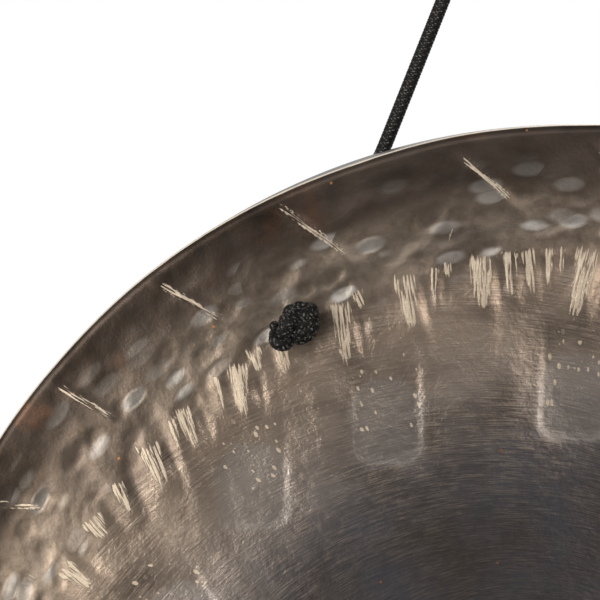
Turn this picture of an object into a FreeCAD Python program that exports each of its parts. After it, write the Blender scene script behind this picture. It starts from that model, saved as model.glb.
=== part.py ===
import FreeCAD, Part
import math
import os

# Tam-tam gong of hammered bronze, hanging by one cord from a hook.
# Millimetres. +Z is up and the struck face looks towards -Y.
# The origin is the inside top of the cord's loop, where a hook carries it.

os.makedirs("parts", exist_ok=True)
V = FreeCAD.Vector

# Gong: one sheet, slightly domed, with a shoulder ring and a rim turned back
GONG_RADIUS = 300.0
SHEET = 1.5
FLAT_RADIUS = 90.0
DOME_RISE = 5.0
DOME_BLEND = 2500.0
SHOULDER_RADIUS = 234.0
SHOULDER_BLEND = 70.0
BAND_DROP = 9.0
CORNER_BLEND = 6.5
RIM_DEPTH = 50.0
RIM_LEAN_IN = 4.0

# Two holes near the top of the face, for the cord
HOLE_X = 121.0
HOLE_Z = 216.8
HOLE_DIAMETER = 8.0

# Cord: one length of round braided cord, from knot to knot over the hook
CORD_RADIUS = 3.2
HOOK_RADIUS = 5.0
LEG_ANGLE = 21.8
EDGE_X = 84.9
EDGE_GAP = 0.95
EDGE_SINK = 1.5
MOVING_GAP = 0.4
TIE_STANDOFF = 4.5
TIE_BEND = 6.5

# Knots in front of the face: a round stopper and a smaller tail knot beside it
STOPPER_SIZE = (17.6, 16.0, 20.0)
TAIL_SIZE = (10.0, 10.0, 12.5)
TAIL_OFFSET = (-8.6, -0.5, -5.4)
KNOT_GAP = 0.2


def unit(a):
    """Return a vector's direction."""
    return V(a.x / a.Length, a.y / a.Length, a.z / a.Length)


def rounded_path(points, radii):
    """Join points with straight runs, and round each inner point with a tangent arc."""
    edges = []
    start = points[0]
    for i in range(1, len(points) - 1):
        corner = points[i]
        back = unit(points[i - 1] - corner)
        ahead = unit(points[i + 1] - corner)
        half_turn = (math.pi - back.getAngle(ahead)) / 2
        reach = radii[i - 1] * math.tan(half_turn)
        bisector = unit(back + ahead)
        enter = corner + back * reach
        leave = corner + ahead * reach
        centre = corner + bisector * (radii[i - 1] / math.cos(half_turn))
        middle = centre - bisector * radii[i - 1]
        edges.append(Part.LineSegment(start, enter).toShape())
        edges.append(Part.Arc(enter, middle, leave).toShape())
        start = leave
    edges.append(Part.LineSegment(start, points[-1]).toShape())
    return edges


def cord_along(edges):
    """Sweep the cord's round section along a path."""
    path = Part.Wire(edges)
    first = edges[0]
    begin = first.valueAt(first.FirstParameter)
    heading = first.tangentAt(first.FirstParameter)
    section = Part.Wire(Part.makeCircle(CORD_RADIUS, begin, heading))
    return path.makePipeShell([section], True, False)


def shifted_profile(points, distance):
    """Move a chain of (radius, depth) points sideways, towards the hidden side."""
    lines = []
    for a, b in zip(points[:-1], points[1:]):
        along = unit(b - a)
        side = V(-along.y, along.x, 0) * distance
        lines.append((a + side, along))
    shifted = [lines[0][0]]
    for (p, u), (q, v) in zip(lines[:-1], lines[1:]):
        cross = u.x * v.y - u.y * v.x
        step = ((q.x - p.x) * v.y - (q.y - p.y) * v.x) / cross
        shifted.append(p + u * step)
    last = points[-1] - points[-2]
    shifted.append(points[-1] + V(-last.y, last.x, 0) * (distance / last.Length))
    return shifted


def ellipsoid(size, centre):
    """Return a solid ellipsoid with the given widths along X, Y and Z."""
    stretch = FreeCAD.Matrix()
    stretch.scale(size[0] / 2, size[1] / 2, size[2] / 2)
    ball = Part.makeSphere(1.0).transformGeometry(stretch)
    ball.translate(centre)
    return ball


# Profile of the struck side, as (radius, depth behind the shoulder ring)
struck_side = [
    V(0, -DOME_RISE, 0),
    V(FLAT_RADIUS, -DOME_RISE, 0),
    V(SHOULDER_RADIUS, 0, 0),
    V(GONG_RADIUS, BAND_DROP, 0),
    V(GONG_RADIUS - RIM_LEAN_IN, RIM_DEPTH, 0),
]
blends = [DOME_BLEND, SHOULDER_BLEND, CORNER_BLEND]
hidden_side = shifted_profile(struck_side, SHEET)
hidden_side[0] = V(0, SHEET - DOME_RISE, 0)
outline = rounded_path(struck_side, blends)
outline.append(Part.LineSegment(struck_side[-1], hidden_side[-1]).toShape())
outline += rounded_path(hidden_side, [blend - SHEET for blend in blends])
outline.append(Part.LineSegment(hidden_side[0], struck_side[0]).toShape())
profile = Part.Face(Part.Wire(Part.__sortEdges__(outline)))
gong = profile.revolve(V(0, 0, 0), V(0, 1, 0), 360)

# The two holes go straight through the outer band
hole_distance = math.hypot(HOLE_X, HOLE_Z)
band_slope = BAND_DROP / (GONG_RADIUS - SHOULDER_RADIUS)
hole_front = (hole_distance - SHOULDER_RADIUS) * band_slope
for side in (-1, 1):
    drill = Part.makeCylinder(
        HOLE_DIAMETER / 2, 40, V(side * HOLE_X, hole_front - 20, HOLE_Z), V(0, 1, 0))
    gong = gong.cut(drill).Solids[0]

# Where the cord bends over the rear edge of the rim, and how the gong leans:
# the bend hangs straight above the gong's centre of mass
edge_circle = GONG_RADIUS - RIM_LEAN_IN - SHEET / 2
bend_height = math.sqrt(edge_circle ** 2 - EDGE_X ** 2) - EDGE_SINK
bend_depth = RIM_DEPTH + CORD_RADIUS + EDGE_GAP
mass_centre = gong.CenterOfMass
lean = math.degrees(math.atan((bend_depth - mass_centre.y) / (bend_height - mass_centre.z)))

# The cord's two legs leave the hook side by side and spread evenly
angle = math.radians(LEG_ANGLE)
loop_radius = HOOK_RADIUS + CORD_RADIUS
leg_heading = V(-math.sin(angle), 0, -math.cos(angle))
loop_end = V(-loop_radius * math.cos(angle), 0, loop_radius * math.sin(angle) - HOOK_RADIUS)
leg_top = loop_end + leg_heading * (CORD_RADIUS + MOVING_GAP)
leg_length = (EDGE_X + leg_top.x) / math.sin(angle)
leg_foot = leg_top + leg_heading * leg_length

# Gong and knots are built upright about the gong's centre, then put in place
placing = FreeCAD.Placement(V(0, 0, 0), FreeCAD.Rotation(V(1, 0, 0), lean))
turned_bend = placing.multVec(V(0, bend_depth, bend_height))
placing.Base = V(0, -turned_bend.y, leg_foot.z - turned_bend.z)


def put_in_place(shape):
    """Lean the shape with the hanging gong and move it under the hook."""
    placed = shape.copy()
    placed.Placement = placing.multiply(shape.Placement)
    return placed


def mirrored(shape):
    """Return the shape on the other side of the gong."""
    return shape.mirror(V(0, 0, 0), V(1, 0, 0))


# Loop over the hook
loop_top = V(0, 0, CORD_RADIUS)
loop_arc = Part.Arc(loop_end, loop_top, V(-loop_end.x, 0, loop_end.z)).toShape()
cord_bight = cord_along([loop_arc])

# Straight leg with round ends, which turn in place at the hook and at the rim
cord_leg = Part.makeCylinder(CORD_RADIUS, leg_length, leg_top, leg_heading)
for end in (leg_top, leg_foot):
    cord_leg = cord_leg.fuse(Part.makeSphere(CORD_RADIUS, end))
cord_leg = cord_leg.removeSplitter()

# Tie behind the face, from the rim's rear edge to the hole
hole_back = hole_front + SHEET
bend = V(-EDGE_X, bend_depth, bend_height)
turn_in = V(-HOLE_X, hole_back + TIE_STANDOFF, HOLE_Z)
tie_heading = unit(turn_in - bend)
tie_start = bend + tie_heading * (CORD_RADIUS + MOVING_GAP)
tie_end = V(-HOLE_X, hole_back + 0.5, HOLE_Z)
cord_tie = cord_along(rounded_path([tie_start, turn_in, tie_end], [TIE_BEND]))

# Stopper knot: a ball of wound cord against the face, with its neck in the hole
knot_centre = V(-HOLE_X, hole_front - STOPPER_SIZE[1] / 2 + 1.2, HOLE_Z)
ball = ellipsoid(STOPPER_SIZE, knot_centre)
slope_rise = STOPPER_SIZE[2] / 2 * band_slope
seat = hole_front - slope_rise - KNOT_GAP
ball = ball.common(Part.makeBox(60, 60, 60, V(-HOLE_X - 30, seat - 60, HOLE_Z - 30)))
neck = Part.makeCylinder(CORD_RADIUS, tie_end.y - knot_centre.y, knot_centre, V(0, 1, 0))
stopper_knot = ball.fuse(neck).removeSplitter()

# Tail knot: the cord's end, knotted again beside the stopper
tail_centre = knot_centre + V(*TAIL_OFFSET)
tail_knot = ellipsoid(TAIL_SIZE, tail_centre)
cleared_ball = ellipsoid([width + 0.3 for width in STOPPER_SIZE], knot_centre)
tail_knot = tail_knot.cut(cleared_ball)

nodes = {
    "gong": put_in_place(gong),
    "cord_bight": cord_bight,
    "cord_leg_left": cord_leg,
    "cord_leg_right": mirrored(cord_leg),
}
for name, shape in (("cord_tie", cord_tie), ("stopper_knot", stopper_knot), ("tail_knot", tail_knot)):
    nodes[name + "_left"] = put_in_place(shape)
    nodes[name + "_right"] = put_in_place(mirrored(shape))

for name, shape in nodes.items():
    shape.exportStep("parts/" + name + ".step")
    box = shape.optimalBoundingBox()
    print(name, shape.isValid(), len(shape.Solids), "volume %.0f" % shape.Volume,
          "x %.1f..%.1f y %.1f..%.1f z %.1f..%.1f" % (
              box.XMin, box.XMax, box.YMin, box.YMax, box.ZMin, box.ZMax))

leg_run = (leg_foot - leg_top).Length
tie_run = (turn_in - bend).Length
total = 2 * (leg_run + tie_run + 2 * (CORD_RADIUS + MOVING_GAP)) + loop_arc.Length
print("lean %.2f degrees" % lean, "cord from hole to hole %.0f mm" % total)
print("swing axis z %.3f" % leg_top.z, "tilt axis z %.3f" % leg_foot.z)
print("gong centre", placing.Base, "mass centre", placing.multVec(mass_centre))
print("radii: loop", loop_radius, "hole", TIE_BEND)
for name in ("cord_bight", "cord_leg_left", "cord_tie_left"):
    print(name, "volume / section = %.1f mm" % (nodes[name].Volume / (math.pi * CORD_RADIUS ** 2)))
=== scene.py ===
import bpy
import math
import numpy as np
from mathutils import Matrix, Vector


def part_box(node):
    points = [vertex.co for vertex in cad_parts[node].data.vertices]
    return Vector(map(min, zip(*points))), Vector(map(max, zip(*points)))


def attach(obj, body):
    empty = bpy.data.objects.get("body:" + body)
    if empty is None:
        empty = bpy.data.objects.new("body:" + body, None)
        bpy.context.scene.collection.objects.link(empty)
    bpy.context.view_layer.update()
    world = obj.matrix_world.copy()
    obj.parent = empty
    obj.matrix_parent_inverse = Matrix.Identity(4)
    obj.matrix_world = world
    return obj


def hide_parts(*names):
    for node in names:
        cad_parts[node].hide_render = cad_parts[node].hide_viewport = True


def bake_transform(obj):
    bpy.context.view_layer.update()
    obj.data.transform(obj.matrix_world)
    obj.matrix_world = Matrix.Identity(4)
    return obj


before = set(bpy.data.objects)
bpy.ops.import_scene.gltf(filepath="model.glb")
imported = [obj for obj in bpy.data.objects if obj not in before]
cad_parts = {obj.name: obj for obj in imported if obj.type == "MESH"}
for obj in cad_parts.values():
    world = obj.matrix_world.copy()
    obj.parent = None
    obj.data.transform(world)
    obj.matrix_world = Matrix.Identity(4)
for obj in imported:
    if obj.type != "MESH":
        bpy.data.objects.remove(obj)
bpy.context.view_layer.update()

MM = 0.001

# Studio: a pale floor a metre under the hanging gong and a white backdrop behind it. A large
# softbox on the left and smaller ones on the right and above are what the bronze reflects. The
# camera stands level, in front of the upper left of the face.


def linear(hex_colour):
    """Turn an sRGB hex colour into linear red, green, blue, alpha."""
    parts = [int(hex_colour[i:i + 2], 16) / 255 for i in (1, 3, 5)]
    return [p / 12.92 if p <= 0.04045 else ((p + 0.055) / 1.055) ** 2.4 for p in parts] + [1.0]


def add_node(tree, kind, inputs=(), **settings):
    """Add one node with its settings, and set its inputs or link them to other nodes."""
    node = tree.nodes.new("ShaderNode" + kind)
    for name, value in settings.items():
        setattr(node, name, value)
    for socket, value in inputs.items() if isinstance(inputs, dict) else enumerate(inputs):
        if isinstance(value, bpy.types.Node):
            value = next(output for output in value.outputs if output.enabled)
        if isinstance(value, bpy.types.NodeSocket):
            tree.links.new(value, node.inputs[socket])
        else:
            node.inputs[socket].default_value = value
    return node


def new_material(name):
    """Start a material and return it with its node tree and shader."""
    material = bpy.data.materials.new(name)
    material.use_nodes = True
    tree = material.node_tree
    return material, tree, tree.nodes["Principled BSDF"]


def new_piece(name, points, faces, material):
    """Make a smooth-shaded mesh object from points in metres and a list of faces."""
    mesh = bpy.data.meshes.new(name)
    mesh.from_pydata(points, [], faces)
    mesh.materials.append(material)
    mesh.polygons.foreach_set("use_smooth", [True] * len(mesh.polygons))
    piece = bpy.data.objects.new(name, mesh)
    bpy.context.scene.collection.objects.link(piece)
    return piece


def softbox(name, place, aim, size, power, colour):
    """Hang an area light at a place, turned towards a point."""
    light = bpy.data.lights.new(name, "AREA")
    light.shape = "RECTANGLE"
    light.size, light.size_y = size
    light.energy = power
    light.color = linear(colour)[:3]
    lamp = bpy.data.objects.new(name, light)
    lamp.location = place
    lamp.rotation_euler = (Vector(aim) - Vector(place)).to_track_quat("-Z", "Y").to_euler()
    lamp.visible_camera = False
    bpy.context.scene.collection.objects.link(lamp)


camera_data = bpy.data.cameras.new("camera")
camera_data.sensor_width = 36.0
camera_data.lens = 160.06
camera = bpy.data.objects.new("camera", camera_data)
camera.location = (-0.1207, -1.190, -0.2589)
camera.rotation_euler = (math.radians(90), 0, 0)
bpy.context.scene.collection.objects.link(camera)
bpy.context.scene.camera = camera
bpy.context.scene.view_settings.view_transform = "Standard"

softbox("left_softbox", (-1.5, -1.35, -0.25), (0, 0, -0.4), (1.0, 1.7), 42, "#fffaf2")
softbox("right_softbox", (1.25, -1.7, -0.1), (0, 0, -0.4), (0.8, 1.4), 18, "#fff6ec")
softbox("upper_softbox", (-0.2, -1.8, 0.75), (0, 0, -0.3), (1.6, 0.5), 12, "#ffffff")
softbox("back_softbox", (0.8, 1.8, 0.7), (0, 0, -0.4), (1.4, 1.2), 20, "#ffffff")

world = bpy.data.worlds.new("studio")
bpy.context.scene.world = world
world.use_nodes = True
sky = world.node_tree
way = add_node(sky, "SeparateXYZ", [add_node(sky, "TexCoord").outputs["Generated"]])
behind = add_node(sky, "MapRange", {"Value": way.outputs["Y"], "From Min": -0.1, "From Max": 0.5})
room_colour = add_node(
    sky, "Mix", {0: behind, 6: linear("#4c4a49"), 7: linear("#e8e8e8")}, data_type="RGBA")
room = add_node(sky, "Background", [room_colour, 1.0])
ambient = add_node(sky, "Background", [linear("#ffffff"), 0.62])
white = add_node(sky, "Background", [linear("#ffffff"), 1.0])
ray = add_node(sky, "LightPath")
reflected = add_node(sky, "MixShader", [ray.outputs["Is Glossy Ray"], ambient, room])
seen = add_node(sky, "MixShader", [ray.outputs["Is Camera Ray"], reflected, white])
sky.links.new(seen.outputs[0], sky.nodes["World Output"].inputs["Surface"])

floor_material, _, floor_shader = new_material("pale_painted_floor")
floor_shader.inputs["Base Color"].default_value = linear("#e6e3de")
floor_shader.inputs["Roughness"].default_value = 0.8
FLOOR_DROP = 1.0
FLOOR_RADIUS = 9.0
FLOOR_CORNERS = 96
floor_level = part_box("gong")[0][2] - FLOOR_DROP
floor_angles = [i * 2 * math.pi / FLOOR_CORNERS for i in range(FLOOR_CORNERS)]
floor_rim = [(FLOOR_RADIUS * math.cos(a), FLOOR_RADIUS * math.sin(a), floor_level) for a in floor_angles]
floor = new_piece("floor", floor_rim, [tuple(range(FLOOR_CORNERS))], floor_material)
floor.visible_glossy = False

# Hanging cord: one length of black braided polyester cord, 6.4 mm thick. It runs from the knot
# at the left hole, behind the face and over the rim's rear edge, up over the hook, and back
# down to the right hole. It is taut all the way, because the gong hangs on it.

CORD = 6.4 * MM
BRAID_CARRIERS = 8
BRAID_PITCH = 12.0 * MM
BRAID_RELIEF = 0.5 * MM
HOLE_X = 121.0
HOLE_Z = 216.8

gong_lean = math.radians(9.50)
gong_centre = Vector((0, -6.983, -481.544)) * MM
upright_to_hanging = Matrix.Translation(gong_centre) @ Matrix.Rotation(gong_lean, 4, "X")


def on_gong(x, depth, z):
    """Return where a point of the upright gong hangs, from millimetres to metres."""
    return upright_to_hanging @ Vector((x * MM, depth * MM, z * MM))


rim_bend = Vector((-84.9, 0, -195.19)) * MM
hook_corner = Vector((-5.55, 0, 3.2)) * MM
leg_direction = (hook_corner - rim_bend).normalized()
tie_direction = (on_gong(-HOLE_X, 7.95, HOLE_Z) - rim_bend).normalized()
half_route = [
    on_gong(-HOLE_X, -8.0, HOLE_Z),
    on_gong(-HOLE_X, 3.9, HOLE_Z),
    on_gong(-HOLE_X, 7.8, HOLE_Z),
    on_gong(-119.4, 9.9, 219.6),
    rim_bend + tie_direction * 0.012,
    rim_bend + tie_direction * 0.004,
    rim_bend + leg_direction * 0.004,
    rim_bend + leg_direction * 0.012,
    hook_corner - leg_direction * 0.038,
    hook_corner - leg_direction * 0.011,
    hook_corner,
]
route = half_route + [Vector((-p.x, p.y, p.z)) for p in reversed(half_route)]


def smooth_line(points, closeness):
    """Return the points of a smooth curve that follows a route."""
    data = bpy.data.curves.new("route", "CURVE")
    data.dimensions = "3D"
    spline = data.splines.new("NURBS")
    spline.points.add(len(points) - 1)
    for i, point in enumerate(points):
        spline.points[i].co = (*point, 1.0)
    spline.order_u = 3
    spline.use_endpoint_u = True
    spline.resolution_u = closeness
    carrier = bpy.data.objects.new("route", data)
    bpy.context.scene.collection.objects.link(carrier)
    bpy.context.view_layer.update()
    mesh = bpy.data.meshes.new_from_object(carrier)
    line = np.array([v.co for v in mesh.vertices])
    bpy.data.objects.remove(carrier)
    return line


def evenly_spaced(line, step):
    """Return the line again with its points a steady step apart, and how far each is along it."""
    lengths = np.r_[0, np.cumsum(np.linalg.norm(np.diff(line, axis=0), axis=1))]
    along = np.linspace(0, lengths[-1], int(lengths[-1] / step) + 1)
    spaced = np.stack([np.interp(along, lengths, line[:, k]) for k in range(3)], axis=1)
    return spaced, along


def braid_height(turn, along):
    """Return how far a braided cord's surface stands out, from 0 to 1."""
    left = turn * BRAID_CARRIERS + along / BRAID_PITCH * BRAID_CARRIERS
    right = turn * BRAID_CARRIERS - along / BRAID_PITCH * BRAID_CARRIERS
    left_on_top = (np.floor(left) - np.floor(right)) % 4 < 2
    across = np.where(left_on_top, left % 1, right % 1)
    travel = np.where(left_on_top, (left % 1 - right) % 2, (right % 1 - left) % 2)
    return np.sqrt(np.abs(np.sin(np.pi * across))) * (0.6 + 0.4 * np.abs(np.sin(np.pi * travel / 2)))


def braided_tube(name, line, along, material, radius=CORD / 2, around=56):
    """Sweep a braided round section along a line, with both ends closed by round caps."""
    tangents = np.gradient(line, axis=0)
    tangents /= np.linalg.norm(tangents, axis=1)[:, None]
    side = np.cross(tangents[0], (0.31, 0.87, 0.39))
    side /= np.linalg.norm(side)
    rows = []
    heights = []
    turns = np.arange(around) / around
    for i, tangent in enumerate(tangents):
        side = side - tangent * np.dot(side, tangent)
        side /= np.linalg.norm(side)
        other = np.cross(tangent, side)
        height = braid_height(turns, along[i])
        reach = radius - BRAID_RELIEF * 0.85 + BRAID_RELIEF * height
        ring = side[None] * (np.cos(turns * 2 * np.pi) * reach)[:, None]
        ring = ring + other[None] * (np.sin(turns * 2 * np.pi) * reach)[:, None]
        rows.append(line[i] + ring)
        heights.append(height)
    caps = []
    for end, forward in ((0, -1), (-1, 1)):
        cap = []
        for lift in (0.35, 0.65, 0.88):
            shrink = math.sqrt(1 - lift ** 2)
            shift = tangents[end] * forward * lift * radius
            cap.append(line[end] + (rows[end] - line[end]) * shrink + shift)
        caps.append(cap)
    rows = caps[0][::-1] + rows + caps[1]
    points = np.concatenate(rows)
    faces = []
    for i in range(len(rows) - 1):
        for j in range(around):
            k = (j + 1) % around
            faces.append((i * around + j, i * around + k, (i + 1) * around + k, (i + 1) * around + j))
    faces.append(tuple(range(around))[::-1])
    faces.append(tuple(range(len(points) - around, len(points))))
    piece = new_piece(name, points.tolist(), faces, material)
    heights = [heights[0]] * 3 + heights + [heights[-1]] * 3
    strand = piece.data.attributes.new("strand", "FLOAT", "POINT")
    strand.data.foreach_set("value", np.concatenate(heights).astype(np.float32))
    return piece


# Braided polyester: near black in the gaps and along the strands, with short pale flecks painted in as
# highlights where the yarns of a strand stand highest and catch the light.
braid, braid_tree, braid_shader = new_material("braided_polyester")
braid_place = add_node(braid_tree, "TexCoord").outputs["Object"]
yarn = add_node(braid_tree, "TexNoise", {"Vector": braid_place, "Scale": 1500.0, "Detail": 2.0})
strand_height = add_node(braid_tree, "Attribute", attribute_name="strand").outputs["Fac"]
crest = add_node(braid_tree, "MapRange", {"Value": strand_height, "From Min": 0.72, "From Max": 1.0})
yarn_shows = add_node(braid_tree, "MapRange", {"Value": yarn, "From Min": 0.42, "From Max": 0.66})
# Painted highlight: the pale yarn colour is mixed in only on the strands' crests
fleck_highlight = add_node(braid_tree, "Math", [crest, yarn_shows], operation="MULTIPLY")
yarn_colour_and_highlight = add_node(
    braid_tree, "Mix", {0: fleck_highlight, 6: linear("#080808"), 7: linear("#77726e")}, data_type="RGBA")
yarn_bump = add_node(braid_tree, "Bump", {"Height": yarn, "Strength": 0.8, "Distance": 0.0003})
braid_tree.links.new(yarn_colour_and_highlight.outputs[2], braid_shader.inputs["Base Color"])
braid_tree.links.new(yarn_bump.outputs["Normal"], braid_shader.inputs["Normal"])
braid_shader.inputs["Roughness"].default_value = 0.6
braid_shader.inputs["Specular IOR Level"].default_value = 0.18
braid_shader.inputs["Sheen Weight"].default_value = 0.04
braid_shader.inputs["Sheen Roughness"].default_value = 0.4

cord_line, cord_along = evenly_spaced(smooth_line(route, 40), 0.3 * MM)
over_rim = np.linalg.norm(cord_line - np.array(rim_bend), axis=1).argmin()
far_side = len(cord_line) - 1 - over_rim
cord_pieces = {}
for name, first, last in (("tie_cord_left", 0, over_rim), ("hanging_cord", over_rim, far_side),
                          ("tie_cord_right", far_side, len(cord_line) - 1)):
    cord_pieces[name] = braided_tube(name, cord_line[first:last + 1], cord_along[first:last + 1], braid)
hanging_cord = cord_pieces["hanging_cord"]
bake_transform(hanging_cord)
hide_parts("cord_bight", "cord_leg_left", "cord_leg_right")

# Stopper knots: in front of each hole the cord is wound four times round its own end into a
# ball, which the pull of the cord seats against the face. The cord's end comes out beside
# the ball and is tied once more, into a smaller tail knot with its cut end showing.

knot_middle = (-HOLE_X, -6.4, HOLE_Z)
WINDINGS = 4.0
WOUND_HEIGHT = 13.0
BALL_RADIUS = 9.0
BALL_FLATNESS = 0.86
RING_STEP = 0.35 * MM


def knot_point(mirror, x, depth, z):
    """Return a point near a knot's middle, in metres, on the left or mirrored to the right."""
    point = on_gong(knot_middle[0] + x, knot_middle[1] + depth, knot_middle[2] + z)
    return Vector((point.x * mirror, point.y, point.z))


knot_pieces = {}
for side, mirror in (("left", 1), ("right", -1)):
    winding = []
    for step in range(0, 201):
        share = step / 200
        level = (share - 0.5) * WOUND_HEIGHT
        gathered = min(1.0, share / 0.08, (1 - share) / 0.08)
        reach = (BALL_RADIUS * math.sqrt(1 - (level / 10.4) ** 2) - 3.0) * gathered
        turn = share * WINDINGS * 2 * math.pi
        tilt = 0.24 * reach * math.sin(turn)
        across, depth = reach * math.sin(turn), -reach * BALL_FLATNESS * math.cos(turn)
        winding.append(knot_point(mirror, across, depth, level + tilt))
    ball_line, ball_along = evenly_spaced(np.array(winding), RING_STEP)
    ball = braided_tube("stopper_ball_" + side, ball_line, ball_along, braid)
    tail_route = [knot_point(mirror, *p) for p in (
        (-1.0, -4.0, 4.5), (-4.2, -8.4, 3.0), (-6.4, -9.4, -0.6), (-7.0, -7.0, -4.4), (-5.0, -3.8, -6.0),
        (-5.0, -4.4, -8.2), (-8.2, -8.4, -8.0), (-10.6, -6.6, -6.2), (-10.0, -3.6, -4.4))]
    tail_line, tail_along = evenly_spaced(smooth_line(tail_route, 20), RING_STEP)
    tail = braided_tube("tail_lump_" + side, tail_line, tail_along, braid, radius=3.0 * MM)
    stub_route = [knot_point(mirror, *p) for p in (
        (-7.0, -4.0, -4.0), (-9.0, -4.6, -2.2), (-10.4, -5.4, -0.4))]
    stub_line, stub_along = evenly_spaced(smooth_line(stub_route, 20), RING_STEP)
    stub = braided_tube("tail_stub_" + side, stub_line, stub_along, braid, radius=2.4 * MM)
    knot_pieces[side] = [ball, tail, stub]
    for piece in knot_pieces[side]:
        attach(piece, "gong")
    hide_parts("stopper_knot_" + side)
    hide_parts("tail_knot_" + side)

for side, tie_line in (("left", cord_line[over_rim::-1]), ("right", cord_line[far_side:])):
    tie_cord = cord_pieces["tie_cord_" + side]
    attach(tie_cord, "gong")
    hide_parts("cord_tie_" + side)

# Gong: one sheet of cast and hammered bronze, 1.5 mm thick, with its rim turned back. The
# maker hammers it from the struck side, skims the middle on a lathe, draws a ring of raised
# teardrops at the shoulder and scrapes them bright, and leaves the scale on the outer band.

SHEET = 1.5
FLAT_RADIUS = 90.0
DOME_RISE = 5.0
SHOULDER_RADIUS = 234.0
RIM_RADIUS = 300.0
BAND_DROP = 9.0
CORNER_RADIUS = 4.2
RIM_DEPTH = 50.0
RIM_LEAN_IN = 4.0
SPOKES = 1200

chance = np.random.default_rng(11)


def eased_corner(x, ease):
    """Return a bend that is flat before 0 and straight after it."""
    return ease * np.logaddexp(0, x / ease)


def face_depth(radius):
    """Return how far the middle of the sheet is behind the shoulder's plane."""
    dome_slope = DOME_RISE / (SHOULDER_RADIUS - FLAT_RADIUS)
    band_slope = BAND_DROP / (RIM_RADIUS - SHOULDER_RADIUS)
    rise = dome_slope * eased_corner(radius - FLAT_RADIUS, 22.0)
    fall = (band_slope - dome_slope) * eased_corner(radius - SHOULDER_RADIUS, 4.0)
    return SHEET / 2 - DOME_RISE + rise + fall


def smooth_step(x, low, high):
    """Return 0 below low, 1 above high, and an eased rise between them."""
    t = np.clip((x - low) / (high - low), 0, 1)
    return t * t * (3 - 2 * t)


# The sheet's middle line from the centre to the rim's rear edge
face_slope = math.atan(BAND_DROP / (RIM_RADIUS - SHOULDER_RADIUS))
rim_slope = math.radians(90) + math.atan(RIM_LEAN_IN / (RIM_DEPTH - BAND_DROP))
bend_radius = CORNER_RADIUS - SHEET / 2
corner_start = RIM_RADIUS - SHEET / 2 - bend_radius * (1 - math.sin(face_slope))
face_radii = np.r_[
    np.arange(1.5, 150, 5.0), np.arange(150, 222, 2.4), np.linspace(222, corner_start - 1, 62)]
bend_angles = np.linspace(face_slope, rim_slope, 13)
bend_centre = (corner_start - bend_radius * math.sin(face_slope),
               face_depth(corner_start) + bend_radius * math.cos(face_slope))
bend_radii = bend_centre[0] + bend_radius * np.sin(bend_angles)
bend_depths = bend_centre[1] - bend_radius * np.cos(bend_angles)
rim_steps = np.linspace(0, 1, 10)[1:]
rim_length = (RIM_DEPTH - bend_depths[-1]) / math.sin(rim_slope)
rim_radii = bend_radii[-1] + rim_steps * rim_length * math.cos(rim_slope)
rim_depths = bend_depths[-1] + rim_steps * rim_length * math.sin(rim_slope)
middle_radius = np.r_[face_radii, bend_radii, rim_radii]
middle_depth = np.r_[face_depth(face_radii), bend_depths, rim_depths]
slope_angle = np.arctan2(np.gradient(middle_depth), np.gradient(middle_radius))

# Hammering, worked out on a grid of rings and spokes. Height is towards the struck side, and
# angles run clockwise from the top.
spoke_angle = np.arange(SPOKES) * 2 * np.pi / SPOKES
ON_RIM = 999.0
ring_radius = np.where(middle_depth < BAND_DROP + 3, middle_radius, ON_RIM)
height = np.zeros((len(middle_radius), SPOKES))
scrape_amount = np.zeros_like(height)
scrape_place = np.zeros((len(middle_radius), SPOKES, 3))
pecked = np.zeros_like(height)
NO_HOLLOW = 99.0
hollow_reach = np.full_like(height, NO_HOLLOW)


def patch(angle, radius, reach):
    """Return the part of the grid within reach of a spot, and each point's offset round and out."""
    rings = np.where(np.abs(ring_radius - radius) < reach)[0]
    width = int(reach / (radius * 2 * np.pi / SPOKES)) + 2
    middle = int(round(angle / (2 * np.pi) * SPOKES))
    spokes = np.arange(middle - width, middle + width + 1)
    turned = (spokes * 2 * np.pi / SPOKES - angle)
    outward = ring_radius[rings][:, None] - radius
    round_way = turned[None] * ring_radius[rings][:, None]
    return np.ix_(rings, spokes % SPOKES), round_way, np.broadcast_to(outward, round_way.shape)


def turned_axes(round_way, outward, turn):
    """Turn offsets clockwise, and return them across and along the turned direction."""
    across = round_way * math.cos(turn) - outward * math.sin(turn)
    along = round_way * math.sin(turn) + outward * math.cos(turn)
    return across, along


def hammer_mark(angle, radius, half_width, half_height, turn, depth, edge=0.35, tip=0.0):
    """Press an oval mark into the sheet, with a flat, slightly tipped floor."""
    where, round_way, outward = patch(angle, radius, max(half_width, half_height) * 1.4)
    across, along = turned_axes(round_way, outward, turn)
    reach = np.sqrt((across / half_width) ** 2 + (along / half_height) ** 2)
    pressed = 1 - smooth_step(reach, 1 - edge, 1 + edge)
    height[where] -= depth * pressed * (1 + tip * along / half_height)


def scrape(angle, radius, width, length, turn, number, strength=1.0, taper=0.75):
    """Mark where a scraper has cut bright strands: wide at the outer end, pointed inside."""
    where, round_way, outward = patch(angle, radius, max(width, length) * 0.8)
    across, along = turned_axes(round_way, outward, turn)
    from_top = np.clip(0.5 - along / length, 0, 1)
    half = width / 2 * (1 - taper * from_top ** 1.5)
    inside = 1 - smooth_step(np.abs(across) / half, 0.6, 1.3)
    inside *= 1 - smooth_step(np.abs(along) / (length / 2), 0.65, 1.15)
    inside *= strength
    stronger = inside > scrape_amount[where]
    scrape_amount[where] = np.where(stronger, inside, scrape_amount[where])
    place = np.stack([across, along, np.full_like(across, number)], axis=-1)
    scrape_place[where] = np.where(stronger[..., None], place, scrape_place[where])


def filled_round(measured, count, wander, make):
    """Return the measured marks, then evenly placed marks by chance over the rest of the ring."""
    first = max(mark[0] for mark in measured) + 360 / count
    last = min(mark[0] for mark in measured) + 360 - 360 / count
    places = np.linspace(first, last, int((last - first) / 360 * count) + 1)
    return measured + [(place + chance.uniform(-wander, wander), *make()) for place in places]


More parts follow.
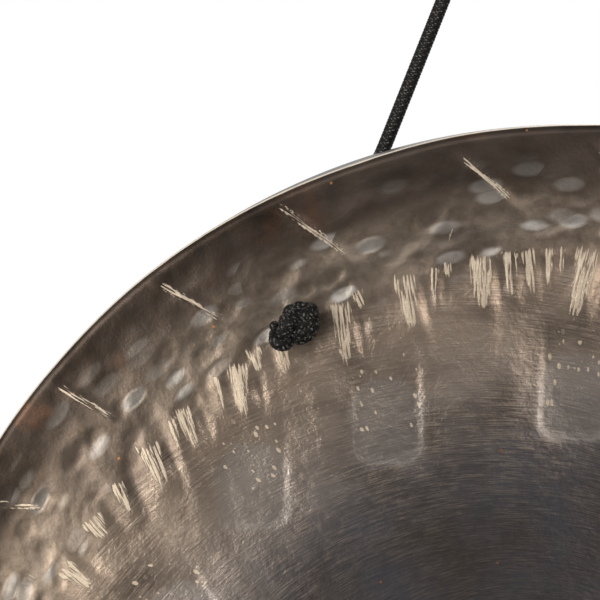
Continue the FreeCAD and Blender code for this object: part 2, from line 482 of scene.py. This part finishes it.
# Slow waves from the smith's hammer, and finer ones that lean along the shoulder
wave_radius = np.minimum(ring_radius, RIM_RADIUS)[:, None]
for order in range(2, 9):
    for ring_turns in (0.0, 1.0):
        swing = chance.uniform(0.05, 0.22) * 2.2 / order
        phase, lag = chance.uniform(0, 2 * np.pi, 2)
        wave = np.cos(order * spoke_angle[None] + phase + ring_turns * wave_radius / 55 + lag)
        height += swing * wave * smooth_step(wave_radius, 20, 200)

for order, swing in ((13, 0.25), (21, 0.3), (34, 0.22)):
    lean = chance.uniform(0.15, 0.3) * np.log(wave_radius) * order
    wave = np.cos(order * spoke_angle[None] + lean + chance.uniform(0, 6))
    shoulder = smooth_step(ring_radius, 120, 190) * (1 - smooth_step(ring_radius, 225, 250))
    height += swing * wave * shoulder[:, None]

# Large soft blows over the outer band, and smaller ones in rows inside it
for angle in np.arange(210) * 2 * np.pi / 210:
    hammer_mark(angle + chance.uniform(-0.02, 0.02), chance.uniform(262, 293), chance.uniform(6, 12),
                chance.uniform(4, 7), chance.uniform(-0.6, 0.3), chance.uniform(0.12, 0.5), 0.55)
for row_radius, count in ((268, 92), (259, 92), (250, 90)):
    for angle in np.arange(count) * 2 * np.pi / count:
        hammer_mark(angle + chance.uniform(-0.03, 0.03), row_radius + chance.uniform(-4, 4),
                    chance.uniform(3.8, 7.5), chance.uniform(2.6, 4.4), chance.uniform(-0.55, 0.15),
                    chance.uniform(0.15, 0.5), 0.4, chance.uniform(-0.5, 0.5))

# Teardrops raised at the shoulder, each scraped bright, as (angle, width, length, turn), with
# soft flutes running in from them
TEARDROPS = 78
teardrops = [
    (-55.0, 7, 15, 31), (-50.3, 9, 23, 27), (-46.4, 4, 16, 29), (-45.0, 8, 20, 25), (-40.0, 3.5, 15, 26),
    (-38.2, 10, 24, 28), (-35.0, 8, 11, 16), (-32.3, 8, 18, 18), (-29.8, 2.5, 11, 24),
    (-25.8, 10, 28, 19), (-22.9, 6, 8, 0), (-18.2, 10, 24, 10), (-15.2, 4, 18, 15), (-13.6, 6, 7, 9),
    (-10.4, 10.5, 24, 8), (-7.3, 7, 20, 5), (-5.3, 6, 21, -1), (-3.4, 5, 17, 3), (-2.0, 4, 14, 5),
    (0.1, 11, 31, 13)]
all_teardrops = filled_round(teardrops, TEARDROPS, 1.0, lambda: (
    chance.uniform(3.5, 11), chance.uniform(9, 28), chance.uniform(2, 28)))
for number, (degrees, width, length, turn) in enumerate(all_teardrops):
    angle, turn = math.radians(degrees), math.radians(turn)
    radius = 249 - length / 2
    size = length / 28
    where, round_way, outward = patch(angle, radius, 30)
    across, along = turned_axes(round_way, outward, turn)
    body = np.exp(-(across / (2.6 + width * 0.42)) ** 2)
    height[where] += 1.0 * size * body * smooth_step(along, -18, -5) * (1 - smooth_step(along, 4, 20))
    groove = np.exp(-((across - 2.5 - width * 0.6) / 3.0) ** 2 - ((along + 2) / 9.0) ** 2)
    height[where] -= 1.0 * size * groove
    scrape(angle, radius, width * 1.25, length * 1.12, turn, number)
    where, round_way, outward = patch(angle, 214, 28)
    across, along = turned_axes(round_way, outward, turn)
    fade = smooth_step(along, -28, 8) * (1 - smooth_step(along, 12, 28))
    height[where] += 0.4 * size * np.exp(-(across / 4.6) ** 2) * fade
for number in range(90):
    angle, radius = chance.uniform(0, 2 * np.pi), chance.uniform(240, 262)
    scrape(angle, radius, chance.uniform(2.5, 6), chance.uniform(3, 8),
           math.radians(chance.uniform(0, 40)), 100 + number, chance.uniform(0.5, 0.8), 0.2)

# Long creases scraped across the outer band, as (angle, length, turn), leaning the other way
CREASES = 28
creases = [(-50.0, 33, -11), (-36.9, 35, -24), (-24.3, 42, -30), (-8.3, 32, -42)]
all_creases = filled_round(creases, CREASES, 1.5, lambda: (
    chance.uniform(28, 38), -chance.uniform(10, 45)))
for number, (degrees, length, turn) in enumerate(all_creases):
    angle, turn = math.radians(degrees), math.radians(turn)
    where, round_way, outward = patch(angle, 278, 27)
    across, along = turned_axes(round_way, outward, turn)
    run = smooth_step(along, -24, -12) * (1 - smooth_step(along, 14, 24))
    height[where] += 0.42 * run * np.exp(-(across / 2.0) ** 2)
    height[where] -= 0.3 * run * np.exp(-((across - 5) / 3.5) ** 2)
    scrape(angle, 280, 4.6, length, turn, 200 + number, 0.92, 0.2)

# Shallow round-ended hollows pressed into the skimmed middle, as (angle, radius, turn), with
# small pecks near their outer ends
HOLLOWS = 17
hollows = [(-43.4, 205, 42), (-25.1, 196, 24), (-0.7, 188, 2)]
for degrees, radius, turn in filled_round(hollows, HOLLOWS, 2.0, lambda: (
        chance.uniform(188, 205), chance.uniform(2, 40))):
    where, round_way, outward = patch(math.radians(degrees), radius, 46)
    across, along = turned_axes(round_way, outward, math.radians(turn))
    corner_reach = np.hypot(np.maximum(np.abs(across) - 7.0, 0), np.maximum(-along - 15.0, 0))
    open_end = 1 - smooth_step(along, 8, 34)
    step = 0.5 * (1 - smooth_step(corner_reach, 5.5, 9.0))
    sunk = step + 0.9 * (1 - smooth_step(corner_reach, 6, 23))
    height[where] -= sunk * open_end
    inner = 1 - smooth_step(corner_reach, 4.0, 9.0)
    hollow_reach[where] = np.minimum(hollow_reach[where], corner_reach + 20 * smooth_step(along, 2, 26))
    outer_end = smooth_step(along, -14, 6) * (1 - smooth_step(along, 20, 28))
    pecked[where] = np.maximum(pecked[where], inner * outer_end)
height *= (ring_radius < ON_RIM)[:, None]

# Both sides of the sheet, from the struck centre out, over the rim's edge and back in
rim_wander = np.zeros(SPOKES)
for order in range(3, 24):
    rim_wander += chance.uniform(0.02, 0.12) * np.cos(order * spoke_angle + chance.uniform(0, 2 * np.pi))
outer_share = smooth_step(middle_radius, 262, 298) * (1 - smooth_step(middle_depth, 20, 45))
out_of_sheet = np.stack([np.sin(slope_angle), -np.cos(slope_angle)])
ring_points = []
for side, rings in ((1, range(len(middle_radius))), (-1, range(len(middle_radius) - 1, -1, -1))):
    for i in rings:
        if side == -1 and i % 2 and i > 4 and i < len(middle_radius) - 4:
            continue
        lift = height[i] + side * SHEET / 2
        radii = middle_radius[i] + out_of_sheet[0, i] * lift + rim_wander * outer_share[i]
        depths = middle_depth[i] + out_of_sheet[1, i] * lift
        ring_points.append((i, side, radii, depths))
ring_count = len(ring_points)
spin = np.stack([np.sin(spoke_angle), np.cos(spoke_angle)])
local = np.concatenate([np.stack([r * spin[0], d, r * spin[1]], axis=1) for _, _, r, d in ring_points])
local = np.concatenate([local, [[0, -DOME_RISE, 0], [0, SHEET - DOME_RISE, 0]]])
to_hanging = np.array(upright_to_hanging)
hanging = local * MM @ to_hanging[:3, :3].T + to_hanging[:3, 3]
lower = np.arange(ring_count - 1)[:, None] * SPOKES
here = np.arange(SPOKES)[None]
following = (here + 1) % SPOKES
quads = np.stack([
    lower + here, lower + following, lower + SPOKES + following, lower + SPOKES + here], axis=-1)
faces = quads.reshape(-1, 4).tolist()
first_centre = ring_count * SPOKES
last_ring = (ring_count - 1) * SPOKES
for j in range(SPOKES):
    k = (j + 1) % SPOKES
    faces.append((first_centre, k, j))
    faces.append((first_centre + 1, last_ring + j, last_ring + k))

# Old bronze under a thin brown patina: nearly black scale on the outer band, a soft streaked shine where
# the lathe has skimmed the middle, partly painted into the colour as reflection, and clean pale metal on
# scrapes and the worn rim. Painted highlights lie along the hollows' edges and on the hammer marks, and
# painted shade in the holes. Places on it are in millimetres from the gong's centre.
bronze, bronze_tree, bronze_shader = new_material("patinated_hammered_bronze")
SPIRAL = math.tan(math.radians(13))
plate = add_node(bronze_tree, "Attribute", attribute_name="plate").outputs["Vector"]
from_middle = add_node(bronze_tree, "VectorMath", [plate, (1.0, 1.0, 0.0)], operation="MULTIPLY")
plate_radius = add_node(bronze_tree, "VectorMath", [from_middle], operation="LENGTH")
plate_way = add_node(bronze_tree, "VectorMath", [from_middle], operation="NORMALIZE")
heading = add_node(bronze_tree, "SeparateXYZ", [plate_way])
share_out = add_node(bronze_tree, "Math", [plate_radius, RIM_RADIUS], operation="DIVIDE")
cloud = add_node(bronze_tree, "TexNoise", {"Vector": plate, "Scale": 0.022, "Detail": 3.0})
mottle = add_node(bronze_tree, "TexNoise", {
    "Vector": plate, "Scale": 0.16, "Detail": 5.0, "Roughness": 0.65})
grain = add_node(bronze_tree, "TexNoise", {
    "Vector": plate, "Scale": 1.1, "Detail": 4.0, "Roughness": 0.7})

# Lathe strokes: each 0.6 mm wide and about 15 mm long, on a slow spiral. Its two directions
# are each wound into a circle, so that the strokes meet all the way round.
angle_round = add_node(
    bronze_tree, "Math", [heading.outputs["X"], heading.outputs["Y"]], operation="ARCTAN2")
log_radius = add_node(bronze_tree, "Math", [plate_radius, math.e], operation="LOGARITHM")
along_stroke = add_node(bronze_tree, "Math", [log_radius, -SPIRAL, angle_round], operation="MULTIPLY_ADD")
across_stroke = add_node(bronze_tree, "Math", [angle_round, SPIRAL, log_radius], operation="MULTIPLY_ADD")
across_stroke = add_node(bronze_tree, "Math", [across_stroke, 9 / SPIRAL], operation="MULTIPLY")
stroke_sines = []
for phase, size in ((along_stroke, 13.0), (across_stroke, 8.5)):
    for wave in ("COSINE", "SINE"):
        circle = add_node(bronze_tree, "Math", [phase], operation=wave)
        stroke_sines.append(add_node(bronze_tree, "Math", [circle, size], operation="MULTIPLY"))
stroke_place = add_node(bronze_tree, "CombineXYZ", stroke_sines[:3])
strokes = add_node(bronze_tree, "TexNoise", {
    "Vector": stroke_place, "W": stroke_sines[3], "Scale": 1.0, "Detail": 4.0, "Roughness": 0.6,
    "Distortion": 0.5}, noise_dimensions="4D")
edge_place = add_node(bronze_tree, "Math", [mottle, 14.0, plate_radius], operation="MULTIPLY_ADD")
skimmed = add_node(bronze_tree, "MapRange", {
    "Value": edge_place, "From Min": 252.0, "From Max": 240.0}, interpolation_type="SMOOTHSTEP")

# Patina by distance from the centre, clouded and mottled. Its lights and darks by radius are partly
# painted reflection: the lighter ring from 0.6 to 0.8 of the radius and the darker middle stand for the
# light the face reflects there, over the dark scale of the outer band.
patina_and_reflection = add_node(bronze_tree, "ValToRGB", [share_out])
patina_and_reflection.color_ramp.elements[0].color = linear("#585a64")
patina_and_reflection.color_ramp.elements[1].color = linear("#29221d")
for position, colour in (
        (0.47, "#605f65"), (0.54, "#6e6d72"), (0.61, "#988f8b"), (0.69, "#b5a598"), (0.76, "#b29f8e"),
        (0.81, "#8d7e70"), (0.86, "#82766a"), (0.9, "#7b6e62"), (0.935, "#352e28")):
    patina_and_reflection.color_ramp.elements.new(position).color = linear(colour)
clouded = add_node(bronze_tree, "MapRange", {
    "Value": cloud, "From Min": 0.4, "From Max": 0.65, "To Max": 0.75})
metal = add_node(
    bronze_tree, "Mix", {0: clouded, 6: patina_and_reflection.outputs["Color"], 7: linear("#584e47")}, data_type="RGBA")
blotch = add_node(bronze_tree, "MapRange", {
    "Value": mottle, "From Min": 0.45, "From Max": 0.66, "To Max": 0.4})
unskimmed = add_node(bronze_tree, "Math", [skimmed, -0.75, 1.0], operation="MULTIPLY_ADD")
blotch = add_node(bronze_tree, "Math", [blotch, unskimmed], operation="MULTIPLY")
metal = add_node(bronze_tree, "Mix", {0: blotch, 6: metal, 7: linear("#4a3d33")}, data_type="RGBA")
stroke_shows = add_node(bronze_tree, "MapRange", {
    "Value": strokes, "From Min": 0.44, "From Max": 0.6, "To Max": 0.72})
patchy = add_node(bronze_tree, "MapRange", {
    "Value": mottle, "From Min": 0.36, "From Max": 0.58, "To Min": 0.25})
skimmed = add_node(bronze_tree, "Math", [skimmed, patchy], operation="MULTIPLY")
deep_skim = add_node(bronze_tree, "MapRange", {
    "Value": plate_radius, "From Min": 130.0, "From Max": 195.0, "To Min": 0.3})
skimmed = add_node(bronze_tree, "Math", [skimmed, deep_skim], operation="MULTIPLY")
streak = add_node(bronze_tree, "Math", [stroke_shows, skimmed], operation="MULTIPLY")
metal = add_node(bronze_tree, "Mix", {0: streak, 6: metal, 7: linear("#b9aa9b")}, data_type="RGBA")

# Hollows: lighter floors, and a thin painted highlight line along their edges
hollow_edge = add_node(bronze_tree, "Attribute", attribute_name="hollow_reach").outputs["Fac"]
hollow_edge = add_node(bronze_tree, "Math", [mottle, 1.6, hollow_edge], operation="MULTIPLY_ADD")
hollow_floor = add_node(bronze_tree, "MapRange", {
    "Value": hollow_edge, "From Min": 12.5, "From Max": 7.0, "To Max": 0.42})
# Painted highlight: a thin pale line where the reach from a hollow's edge is near 8.8 mm
from_line = add_node(bronze_tree, "Math", [hollow_edge, 8.8], operation="SUBTRACT")
from_line = add_node(bronze_tree, "Math", [from_line], operation="ABSOLUTE")
painted_edge_highlight = add_node(bronze_tree, "MapRange", {
    "Value": from_line, "From Min": 1.1, "From Max": 0.2, "To Max": 0.5})
hollow_floor_and_highlight = add_node(bronze_tree, "Math", [hollow_floor, painted_edge_highlight], operation="MAXIMUM")
metal = add_node(bronze_tree, "Mix", {0: hollow_floor_and_highlight, 6: metal, 7: linear("#b3aca7")}, data_type="RGBA")

# Lens-shaped hammer marks of 12 by 6 mm, with pale floors: polished by the hammer's face, and painted
# lighter as a highlight
mark_sizes = ((heading.outputs["X"], 15.5), (heading.outputs["Y"], 15.5), (plate_radius, 0.13))
mark_place = add_node(bronze_tree, "CombineXYZ", [
    add_node(bronze_tree, "Math", [value, size], operation="MULTIPLY") for value, size in mark_sizes])
marks = add_node(bronze_tree, "TexVoronoi", {"Vector": mark_place, "Scale": 1.0, "Randomness": 0.85})
mark_chance = add_node(bronze_tree, "SeparateColor", [marks.outputs["Color"]])
mark_floor = add_node(bronze_tree, "MapRange", {
    "Value": marks.outputs["Distance"], "From Min": 0.5, "From Max": 0.27},
    interpolation_type="SMOOTHSTEP")
mark_kept = add_node(bronze_tree, "MapRange", {
    "Value": mark_chance.outputs["Red"], "From Min": 0.35, "From Max": 0.9})
marks_begin = add_node(bronze_tree, "MapRange", {
    "Value": plate_radius, "From Min": 238.0, "From Max": 246.0})
marks_end = add_node(bronze_tree, "MapRange", {
    "Value": plate_radius, "From Min": 290.0, "From Max": 264.0})
mark_shape = mark_floor
for limit in (mark_kept, marks_begin, marks_end):
    mark_shape = add_node(bronze_tree, "Math", [mark_shape, limit], operation="MULTIPLY")
mark_middle = add_node(bronze_tree, "SeparateXYZ", [marks.outputs["Position"]])
mark_rise = add_node(bronze_tree, "Math", [plate_radius, 0.13], operation="MULTIPLY")
mark_rise = add_node(bronze_tree, "Math", [mark_rise, mark_middle.outputs["Z"]], operation="SUBTRACT")
mark_tip = add_node(bronze_tree, "MapRange", {
    "Value": mark_chance.outputs["Green"], "To Min": -1.6, "To Max": 1.6})
mark_tip = add_node(bronze_tree, "Math", [mark_tip, mark_rise], operation="MULTIPLY")
mark_relief = add_node(bronze_tree, "Math", [mark_tip, 0.0], operation="ADD")
mark_relief = add_node(bronze_tree, "Math", [mark_relief, mark_shape], operation="MULTIPLY")
# Painted highlight: the kept marks' floors are lightened towards pale grey, partly for the hammer's polish
mark_polish_and_highlight = add_node(bronze_tree, "Math", [mark_shape, 0.75], operation="MULTIPLY")
metal = add_node(bronze_tree, "Mix", {0: mark_polish_and_highlight, 6: metal, 7: linear("#a9a6a1")}, data_type="RGBA")

# Heat stains near the rim, and tiny orange specks of copper oxide
stain = add_node(bronze_tree, "TexNoise", {"Vector": plate, "Scale": 0.05, "Detail": 4.0})
stain = add_node(bronze_tree, "MapRange", {
    "Value": stain, "From Min": 0.56, "From Max": 0.72, "To Max": 0.35})
near_rim = add_node(bronze_tree, "MapRange", {
    "Value": plate_radius, "From Min": 274.0, "From Max": 294.0})
stain = add_node(bronze_tree, "Math", [stain, near_rim], operation="MULTIPLY")
metal = add_node(bronze_tree, "Mix", {0: stain, 6: metal, 7: linear("#7d5236")}, data_type="RGBA")
specks = add_node(bronze_tree, "TexVoronoi", {"Vector": plate, "Scale": 0.06})
specks = add_node(bronze_tree, "MapRange", {
    "Value": specks.outputs["Distance"], "From Min": 0.045, "From Max": 0.02})
metal = add_node(bronze_tree, "Mix", {0: specks, 6: metal, 7: linear("#b87f4e")}, data_type="RGBA")

# Scraped strands about 1 mm apart, running the way each scrape was drawn
scrape_at = add_node(bronze_tree, "Attribute", attribute_name="scrape_place").outputs["Vector"]
scrape_how = add_node(bronze_tree, "Attribute", attribute_name="scrape_amount").outputs["Fac"]
strand_place = add_node(bronze_tree, "VectorMath", [scrape_at, (1.25, 0.075, 7.3)], operation="MULTIPLY")
strands = add_node(bronze_tree, "TexNoise", {
    "Vector": strand_place, "Scale": 1.0, "Detail": 3.0, "Roughness": 0.55})
bright = add_node(bronze_tree, "Math", [scrape_how, 0.44, strands], operation="MULTIPLY_ADD")
bright = add_node(bronze_tree, "MapRange", {"Value": bright, "From Min": 0.88, "From Max": 0.93})
scrape_here = add_node(bronze_tree, "MapRange", {"Value": scrape_how, "From Min": 0.05, "From Max": 0.3})
bright = add_node(bronze_tree, "Math", [bright, scrape_here], operation="MULTIPLY")

# Pecks of about 1 by 2 mm, scattered over the outer ends of the hollows
peck_sizes = ((heading.outputs["X"], 95.0), (heading.outputs["Y"], 95.0), (plate_radius, 0.26))
peck_place = add_node(bronze_tree, "CombineXYZ", [
    add_node(bronze_tree, "Math", [value, size], operation="MULTIPLY") for value, size in peck_sizes])
pecks = add_node(bronze_tree, "TexVoronoi", {"Vector": peck_place, "Scale": 1.0})
peck_chance = add_node(bronze_tree, "SeparateColor", [pecks.outputs["Color"]])
peck_kept = add_node(bronze_tree, "MapRange", {
    "Value": peck_chance.outputs["Red"], "From Min": 0.6, "From Max": 0.64})
peck_size = add_node(
    bronze_tree, "Math", [peck_chance.outputs["Green"], 0.3, 0.16], operation="MULTIPLY_ADD")
peck_dot = add_node(bronze_tree, "Math", [pecks.outputs["Distance"], peck_size], operation="LESS_THAN")
peck_area = add_node(bronze_tree, "Attribute", attribute_name="pecks").outputs["Fac"]
peck_here = add_node(
    bronze_tree, "Math", [peck_chance.outputs["Blue"], peck_area], operation="LESS_THAN")
for limit in (peck_kept, peck_here):
    peck_dot = add_node(bronze_tree, "Math", [peck_dot, limit], operation="MULTIPLY")
bright = add_node(bronze_tree, "Math", [bright, peck_dot], operation="MAXIMUM")

scraped_colour = add_node(
    bronze_tree, "Mix", {0: grain, 6: linear("#e0d5c5"), 7: linear("#a8967f")}, data_type="RGBA")
metal = add_node(bronze_tree, "Mix", {0: bright, 6: metal, 7: scraped_colour}, data_type="RGBA")
wear = add_node(bronze_tree, "Attribute", attribute_name="edge_wear").outputs["Fac"]
worn = add_node(bronze_tree, "Math", [mottle, 0.8, wear], operation="MULTIPLY_ADD")
worn = add_node(bronze_tree, "MapRange", {"Value": worn, "From Min": 1.0, "From Max": 1.3})
metal = add_node(bronze_tree, "Mix", {0: worn, 6: metal, 7: linear("#eadfce")}, data_type="RGBA")

# Painted shade: the sheet has no holes cut in it, so the dark of each hole's gap round the cord is painted
# on
either_side = add_node(bronze_tree, "VectorMath", [from_middle], operation="ABSOLUTE")
plate_parts = add_node(bronze_tree, "SeparateXYZ", [from_middle])
either_side = add_node(bronze_tree, "SeparateXYZ", [either_side])
either_hole = add_node(bronze_tree, "CombineXYZ", [either_side.outputs["X"], plate_parts.outputs["Y"]])
from_hole = add_node(bronze_tree, "VectorMath", [either_hole, (HOLE_X, HOLE_Z, 0.0)], operation="DISTANCE")
# Painted shade: near black within 5 mm of each hole's centre
painted_hole_shade = add_node(bronze_tree, "MapRange", {"Value": from_hole, "From Min": 5.0, "From Max": 4.3})
metal = add_node(bronze_tree, "Mix", {0: painted_hole_shade, 6: metal, 7: linear("#060505")}, data_type="RGBA")
bronze_tree.links.new(metal.outputs[2], bronze_shader.inputs["Base Color"])

clean = add_node(bronze_tree, "Math", [bright, worn], operation="MAXIMUM")
roughness = add_node(bronze_tree, "MapRange", {
    "Value": share_out, "From Min": 0.75, "From Max": 0.93, "To Min": 0.3, "To Max": 0.38})
roughness = add_node(bronze_tree, "Math", [grain, 0.1, roughness], operation="MULTIPLY_ADD")
roughness = add_node(bronze_tree, "Mix", {0: clean, 2: roughness, 3: 0.6}, data_type="FLOAT")
bronze_tree.links.new(roughness.outputs[0], bronze_shader.inputs["Roughness"])
bronze_shader.inputs["Metallic"].default_value = 0.9
bronze_shader.inputs["Anisotropic"].default_value = 0.5
across_strokes = add_node(bronze_tree, "Attribute", attribute_name="across_strokes").outputs["Vector"]
stroke_way = add_node(
    bronze_tree, "VectorTransform", [across_strokes], vector_type="VECTOR", convert_from="OBJECT",
    convert_to="WORLD")
bronze_tree.links.new(stroke_way.outputs[0], bronze_shader.inputs["Tangent"])

# Relief in millimetres
relief = mark_relief
scraped_relief = add_node(bronze_tree, "Math", [strands, bright], operation="MULTIPLY")
stroke_relief = add_node(bronze_tree, "Math", [strokes, skimmed], operation="MULTIPLY")
for layer, depth in ((mottle, 0.32), (grain, 0.05), (stroke_relief, 0.2), (scraped_relief, 0.25)):
    relief = add_node(bronze_tree, "Math", [layer, depth, relief], operation="MULTIPLY_ADD")
surface = add_node(bronze_tree, "Bump", {"Height": relief, "Strength": 0.8, "Distance": 0.001})
bronze_tree.links.new(surface.outputs["Normal"], bronze_shader.inputs["Normal"])

gong = new_piece("gong_sheet", hanging.tolist(), faces, bronze)


def paint(name, kind, values):
    """Store one value or vector per point of the gong."""
    attribute = gong.data.attributes.new(name, kind, "POINT")
    field = "value" if kind == "FLOAT" else "vector"
    attribute.data.foreach_set(field, np.asarray(values, dtype=np.float32).ravel())


ring_index = np.array([i for i, _, _, _ in ring_points])
struck = np.array([side > 0 for _, side, _, _ in ring_points])
plate_place = np.stack([local[:, 0], local[:, 2], local[:, 1]], axis=1)
across_way = np.stack([local[:, 0], 0 * local[:, 0], local[:, 2]], axis=1)
across_way += SPIRAL * np.stack([local[:, 2], 0 * local[:, 0], -local[:, 0]], axis=1)
across_way /= np.maximum(np.linalg.norm(across_way, axis=1), 1e-6)[:, None]
slopes = np.degrees(slope_angle[ring_index])
corner_share = smooth_step(slopes, 58, 68) * (1 - smooth_step(slopes, 90, 93)) * struck
amount = scrape_amount[ring_index] * struck[:, None]
paint("plate", "FLOAT_VECTOR", plate_place)
paint("across_strokes", "FLOAT_VECTOR", across_way @ to_hanging[:3, :3].T)
paint("scrape_place", "FLOAT_VECTOR", np.r_[scrape_place[ring_index].reshape(-1, 3), np.zeros((2, 3))])
paint("scrape_amount", "FLOAT", np.r_[amount.ravel(), 0, 0])
paint("edge_wear", "FLOAT", np.r_[np.repeat(corner_share, SPOKES), 0, 0])
struck_reach = np.where(struck[:, None], hollow_reach[ring_index], NO_HOLLOW)
paint("hollow_reach", "FLOAT", np.r_[struck_reach.ravel(), NO_HOLLOW, NO_HOLLOW])
paint("pecks", "FLOAT", np.r_[(pecked[ring_index] * struck[:, None]).ravel(), 0, 0])
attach(gong, "gong")
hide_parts("gong")
